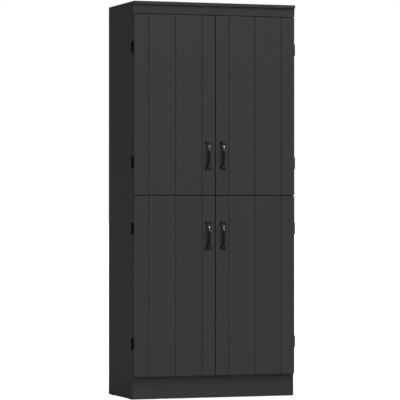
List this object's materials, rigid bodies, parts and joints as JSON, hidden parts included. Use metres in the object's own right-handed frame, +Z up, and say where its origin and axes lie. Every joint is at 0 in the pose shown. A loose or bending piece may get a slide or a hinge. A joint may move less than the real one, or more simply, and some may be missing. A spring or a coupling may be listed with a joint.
{
  "type": "pantry cabinet",
  "caption": "Tall free-standing pantry cabinet with upper and lower pairs of grooved board doors, shelves inside, arched pull handles, side butt hinges and a recessed toe kick.",
  "frame": {"origin": "on the floor, under the middle of the closed cabinet's bounding box, handles included", "axes": "+Z up, the doors face -Y, +Y towards the wall behind, +X to the right of someone facing the doors"},
  "size_m": [0.8052, 0.418, 1.83],
  "materials": {
    "charcoal_board": "matte charcoal laminate on particle board",
    "painted_door_board": "matte charcoal paint film on fibre board",
    "back_board": "thin charcoal-faced hardboard",
    "handle_black_metal": "satin black enamel on cast metal",
    "hinge_black_metal": "satin black enamel on steel",
    "bright_steel": "zinc-plated steel",
    "catch_plastic": "black moulded plastic",
    "glide_plastic": "dark moulded plastic"
  },
  "bodies": {
    "carcass": {"left_side_panel": "charcoal_board", "right_side_panel": "charcoal_board", "top_panel": "charcoal_board", "top_fascia": "painted_door_board", "fixed_middle_shelf": "charcoal_board", "bottom_panel": "charcoal_board", "toe_kick": "charcoal_board", "rear_plinth_rail": "charcoal_board", "back_panel_upper": "back_board", "back_panel_lower": "back_board", "upper_adjustable_shelf_1": "charcoal_board", "upper_adjustable_shelf_2": "charcoal_board", "lower_adjustable_shelf_1": "charcoal_board", "upper_magnetic_catch": "catch_plastic", "lower_magnetic_catch": "catch_plastic", "floor_glide_front_left": "glide_plastic", "floor_glide_front_right": "glide_plastic", "floor_glide_rear_left": "glide_plastic", "floor_glide_rear_right": "glide_plastic", "wall_bracket_left": "bright_steel", "wall_bracket_right": "bright_steel", "hinge_frame_leaf_upper_left_top": "hinge_black_metal", "hinge_frame_leaf_upper_left_bottom": "hinge_black_metal", "hinge_frame_leaf_upper_right_top": "hinge_black_metal", "hinge_frame_leaf_upper_right_bottom": "hinge_black_metal", "hinge_frame_leaf_lower_left_top": "hinge_black_metal", "hinge_frame_leaf_lower_left_bottom": "hinge_black_metal", "hinge_frame_leaf_lower_right_top": "hinge_black_metal", "hinge_frame_leaf_lower_right_bottom": "hinge_black_metal", "hinge_pin_upper_left_top": "hinge_black_metal", "hinge_pin_upper_left_bottom": "hinge_black_metal", "hinge_pin_upper_right_top": "hinge_black_metal", "hinge_pin_upper_right_bottom": "hinge_black_metal", "hinge_pin_lower_left_top": "hinge_black_metal", "hinge_pin_lower_left_bottom": "hinge_black_metal", "hinge_pin_lower_right_top": "hinge_black_metal", "hinge_pin_lower_right_bottom": "hinge_black_metal"},
    "door_upper_left_body": {"door_upper_left": "painted_door_board", "handle_upper_left": "handle_black_metal", "strike_plate_upper_left": "bright_steel", "hinge_door_leaf_upper_left_top": "hinge_black_metal", "hinge_door_leaf_upper_left_bottom": "hinge_black_metal"},
    "door_upper_right_body": {"door_upper_right": "painted_door_board", "handle_upper_right": "handle_black_metal", "strike_plate_upper_right": "bright_steel", "hinge_door_leaf_upper_right_top": "hinge_black_metal", "hinge_door_leaf_upper_right_bottom": "hinge_black_metal"},
    "door_lower_left_body": {"door_lower_left": "painted_door_board", "handle_lower_left": "handle_black_metal", "strike_plate_lower_left": "bright_steel", "hinge_door_leaf_lower_left_top": "hinge_black_metal", "hinge_door_leaf_lower_left_bottom": "hinge_black_metal"},
    "door_lower_right_body": {"door_lower_right": "painted_door_board", "handle_lower_right": "handle_black_metal", "strike_plate_lower_right": "bright_steel", "hinge_door_leaf_lower_right_top": "hinge_black_metal", "hinge_door_leaf_lower_right_bottom": "hinge_black_metal"}
  },
  "joints": [
    {"name": "upper_left_door_swing", "type": "hinge", "parent": "carcass", "child": "door_upper_left_body", "pos_m": [-0.3991, -0.16745, 1.356], "axis": [0, 0, -1], "range_deg": [0, 180]},
    {"name": "upper_right_door_swing", "type": "hinge", "parent": "carcass", "child": "door_upper_right_body", "pos_m": [0.3991, -0.16745, 1.356], "axis": [0, 0, 1], "range_deg": [0, 180]},
    {"name": "lower_left_door_swing", "type": "hinge", "parent": "carcass", "child": "door_lower_left_body", "pos_m": [-0.3991, -0.16745, 0.522], "axis": [0, 0, -1], "range_deg": [0, 180]},
    {"name": "lower_right_door_swing", "type": "hinge", "parent": "carcass", "child": "door_lower_right_body", "pos_m": [0.3991, -0.16745, 0.522], "axis": [0, 0, 1], "range_deg": [0, 180]}
  ]
}
